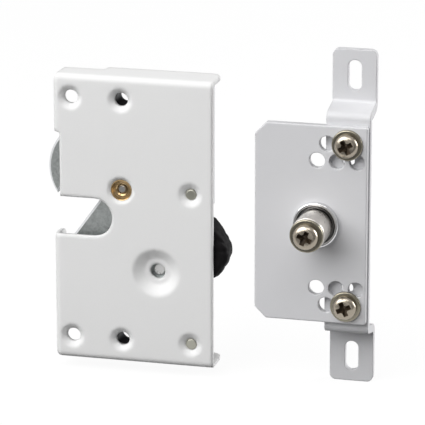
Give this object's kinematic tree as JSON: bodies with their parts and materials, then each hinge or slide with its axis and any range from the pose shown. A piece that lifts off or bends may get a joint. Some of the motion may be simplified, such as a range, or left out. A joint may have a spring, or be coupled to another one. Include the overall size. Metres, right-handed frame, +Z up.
{
  "type": "electric bolt lock",
  "caption": "Flat sheet-metal solenoid latch case with a swinging fork in a side mouth, shown beside its adjustable striker plate with a roller pin.",
  "frame": {"origin": "centre of the back face of the lock case, in the plane that the case and the striker's ears are screwed to", "axes": "+Z up along the case's height, +Y out of the back face towards what it is screwed to, +X from the mouth's side of the case towards the striker as shown"},
  "size_m": [0.1152, 0.033, 0.1188],
  "materials": {
    "case_coat": "satin powder coat",
    "zinc_sheet": "zinc plated",
    "turned_steel": "turned, plated",
    "bush_brass": "turned",
    "spring_steel": "drawn wire",
    "fork_zinc": "mottled zinc",
    "bobbin_plastic": "moulded",
    "enamel_copper": "enamelled wire",
    "nickel": "warm nickel plate",
    "lead_insulation": "insulated wire",
    "boot_black": "soft, dull",
    "striker_coat": "satin coat",
    "pin_chrome": "bright",
    "pin_satin": "satin, turned"
  },
  "bodies": {
    "case": {"front_shell": "case_coat", "rear_plate": "zinc_sheet", "shell_posts": "turned_steel", "screw_spacers": "turned_steel", "fork_bush": "bush_brass", "fork_axle": "turned_steel", "fork_front_spacer": "turned_steel", "fork_rear_spacer": "turned_steel", "fork_spring": "spring_steel", "fork_stop": "turned_steel", "pawl_axle": "turned_steel", "solenoid_yoke": "zinc_sheet", "coil_bobbin": "bobbin_plastic", "coil_winding": "enamel_copper", "solenoid_core": "turned_steel", "plunger_spring": "spring_steel", "solenoid_screws": "nickel", "coil_leads": "lead_insulation", "lead_boot": "boot_black", "striker_plate": "striker_coat", "striker_base": "striker_coat", "adjust_screws": "nickel", "adjust_washers": "nickel", "pin_flange": "pin_chrome", "pin_stud": "turned_steel", "pin_washer": "pin_chrome", "pin_screw": "nickel"},
    "fork": {"fork": "fork_zinc"},
    "pawl": {"pawl": "fork_zinc", "tail_pin": "turned_steel"},
    "plunger": {"plunger": "turned_steel", "plunger_link": "zinc_sheet", "link_pin": "turned_steel", "plunger_clip": "spring_steel"},
    "roller": {"pin_roller": "pin_satin"}
  },
  "joints": [
    {"name": "fork_swing", "type": "hinge", "parent": "case", "child": "fork", "pos_m": [-0.0043, -0.00775, 0.01105], "axis": [0, -1, 0], "range_deg": [0, 36], "stiffness_Nm_per_rad": 0.02, "springref_deg": -28.65, "deforming": ["fork_spring"]},
    {"name": "pawl_swing", "type": "hinge", "parent": "case", "child": "pawl", "pos_m": [0.0083, -0.00775, -0.0179], "axis": [0, 1, 0], "range_deg": [0, 11]},
    {"name": "plunger_slide", "type": "slide", "parent": "case", "child": "plunger", "axis": [0, 0, -1], "range_m": [0, 0.00144], "deforming": ["plunger_spring"]},
    {"name": "roller_spin", "type": "hinge", "parent": "case", "child": "roller", "pos_m": [0.0655, -0.02255, 0.0041], "axis": [0, 1, 0], "continuous": true}
  ],
  "couplings": [
    {"joint": "pawl_swing", "follows": "plunger_slide", "rad_per_m": 133.3}
  ]
}
